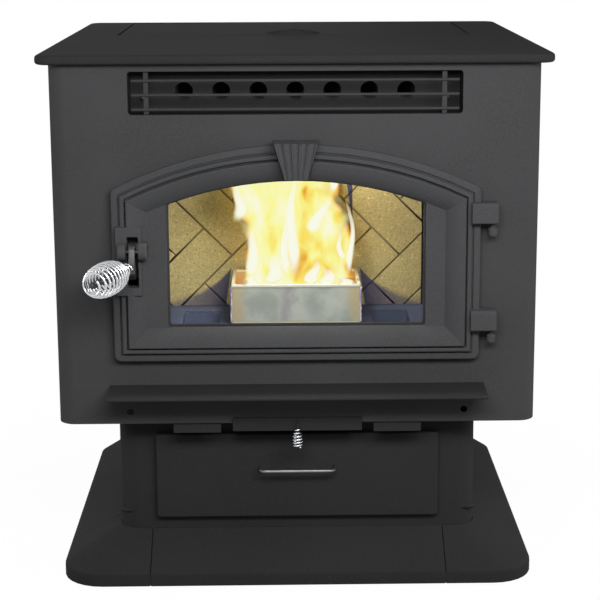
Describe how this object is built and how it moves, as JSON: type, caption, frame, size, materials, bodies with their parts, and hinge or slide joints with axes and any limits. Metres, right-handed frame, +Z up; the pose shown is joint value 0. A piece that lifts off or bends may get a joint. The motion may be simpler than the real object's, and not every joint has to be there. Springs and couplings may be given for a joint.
{
  "type": "pellet stove",
  "caption": "Free-standing pellet stove with an arched glass door, a top hopper under a hinged lid, rod air grille, ash drawer in its pedestal and a flared base",
  "frame": {"origin": "on the floor, under the middle of the base's width and depth", "axes": "+X to the right as the stove is faced, +Y to its back, +Z up; the door and the warm air grille face -Y"},
  "size_m": [0.711, 0.8382, 0.768],
  "materials": {
    "cabinet_paint": "matte charcoal stove paint, finely grained",
    "cast_paint": "cast iron under matte charcoal stove paint",
    "bright_wire": "bright nickel-plated spring wire",
    "bare_steel": "bare steel, dulled by heat",
    "zinc_sheet": "zinc-coated sheet",
    "black_paint": "black heat-resistant paint",
    "brick": "moulded ceramic-fibre panel in a brick pattern, buff and sooted",
    "glass": "clear ceramic glass",
    "rope": "braided glass-fibre rope seal",
    "plastic": "black moulded plastic"
  },
  "bodies": {
    "stove": {"pedestal": "cabinet_paint", "front_panel": "cabinet_paint", "side_panel_left": "cabinet_paint", "side_panel_right": "cabinet_paint", "rear_panel": "cabinet_paint", "top_plate": "cabinet_paint", "tube_plate": "cabinet_paint", "lid_hinge": "cabinet_paint", "base_front": "cast_paint", "base_corner_left": "cast_paint", "base_corner_right": "cast_paint", "base_side_left": "cast_paint", "base_side_right": "cast_paint", "base_back": "cast_paint", "outlet_grille": "cast_paint", "hinge_bracket_upper": "cast_paint", "hinge_bracket_lower": "cast_paint", "ash_lip": "cast_paint", "heat_tube_1": "bare_steel", "heat_tube_2": "bare_steel", "heat_tube_3": "bare_steel", "heat_tube_4": "bare_steel", "heat_tube_5": "bare_steel", "heat_tube_6": "bare_steel", "heat_tube_7": "bare_steel", "burn_pot": "bare_steel", "latch_catch": "bare_steel", "hopper": "zinc_sheet", "auger_tube": "zinc_sheet", "feed_chute": "zinc_sheet", "exhaust_blower": "zinc_sheet", "flue_collar": "zinc_sheet", "air_inlet_pipe": "zinc_sheet", "room_blower": "zinc_sheet", "air_duct": "zinc_sheet", "firebox": "black_paint", "ash_chutes": "black_paint", "cabinet_floor": "black_paint", "auger_motor": "black_paint", "brick_panel": "brick", "control_panel": "plastic", "power_inlet": "plastic"},
    "door": {"door_frame": "cast_paint", "keystone": "cast_paint", "door_glass": "glass", "glass_retainer": "bare_steel", "door_gasket": "rope", "latch_pin": "bare_steel"},
    "latch": {"latch_lever": "bare_steel", "handle_coil": "bright_wire"},
    "lid": {"hopper_lid": "cabinet_paint"},
    "drawer": {"ash_drawer": "cabinet_paint", "drawer_pull": "bare_steel"},
    "ash_dump": {"ash_dump_slide": "cabinet_paint", "spring_knob": "bright_wire"},
    "fly_ash_left": {"fly_ash_slide_left": "cabinet_paint"},
    "fly_ash_right": {"fly_ash_slide_right": "cabinet_paint"},
    "feed_screw": {"auger": "bare_steel"},
    "exhaust_wheel": {"exhaust_impeller": "bare_steel"},
    "room_wheel": {"room_blower_wheel": "zinc_sheet"}
  },
  "joints": [
    {"name": "door_hinge", "type": "hinge", "parent": "stove", "child": "door", "pos_m": [0.272, -0.2985, 0.45], "axis": [0, 0, 1], "range_deg": [0, 110]},
    {"name": "latch_pivot", "type": "hinge", "parent": "door", "child": "latch", "pos_m": [-0.226, -0.3115, 0.494], "axis": [1, 0, 0], "range_deg": [0, 35]},
    {"name": "lid_hinge_joint", "type": "hinge", "parent": "stove", "child": "lid", "pos_m": [0, 0.3795, 0.7575], "axis": [-1, 0, 0], "range_deg": [0, 85]},
    {"name": "drawer_slide", "type": "slide", "parent": "stove", "child": "drawer", "axis": [0, -1, 0], "range_m": [0, 0.4]},
    {"name": "ash_dump_pull", "type": "slide", "parent": "stove", "child": "ash_dump", "axis": [0, -1, 0], "range_m": [0, 0.1]},
    {"name": "fly_ash_pull_left", "type": "slide", "parent": "stove", "child": "fly_ash_left", "axis": [0, -1, 0], "range_m": [0, 0.1]},
    {"name": "fly_ash_pull_right", "type": "slide", "parent": "stove", "child": "fly_ash_right", "axis": [0, -1, 0], "range_m": [0, 0.1]},
    {"name": "feed_screw_shaft", "type": "hinge", "parent": "stove", "child": "feed_screw", "pos_m": [0, 0.2785, 0.4], "axis": [0, -0.8241, 0.5664], "continuous": true},
    {"name": "exhaust_shaft", "type": "hinge", "parent": "stove", "child": "exhaust_wheel", "pos_m": [0.209, 0.1385, 0.385], "axis": [1, 0, 0], "continuous": true},
    {"name": "room_fan_shaft", "type": "hinge", "parent": "stove", "child": "room_wheel", "pos_m": [-0.285, 0.1385, 0.345], "axis": [1, 0, 0], "continuous": true}
  ]
}
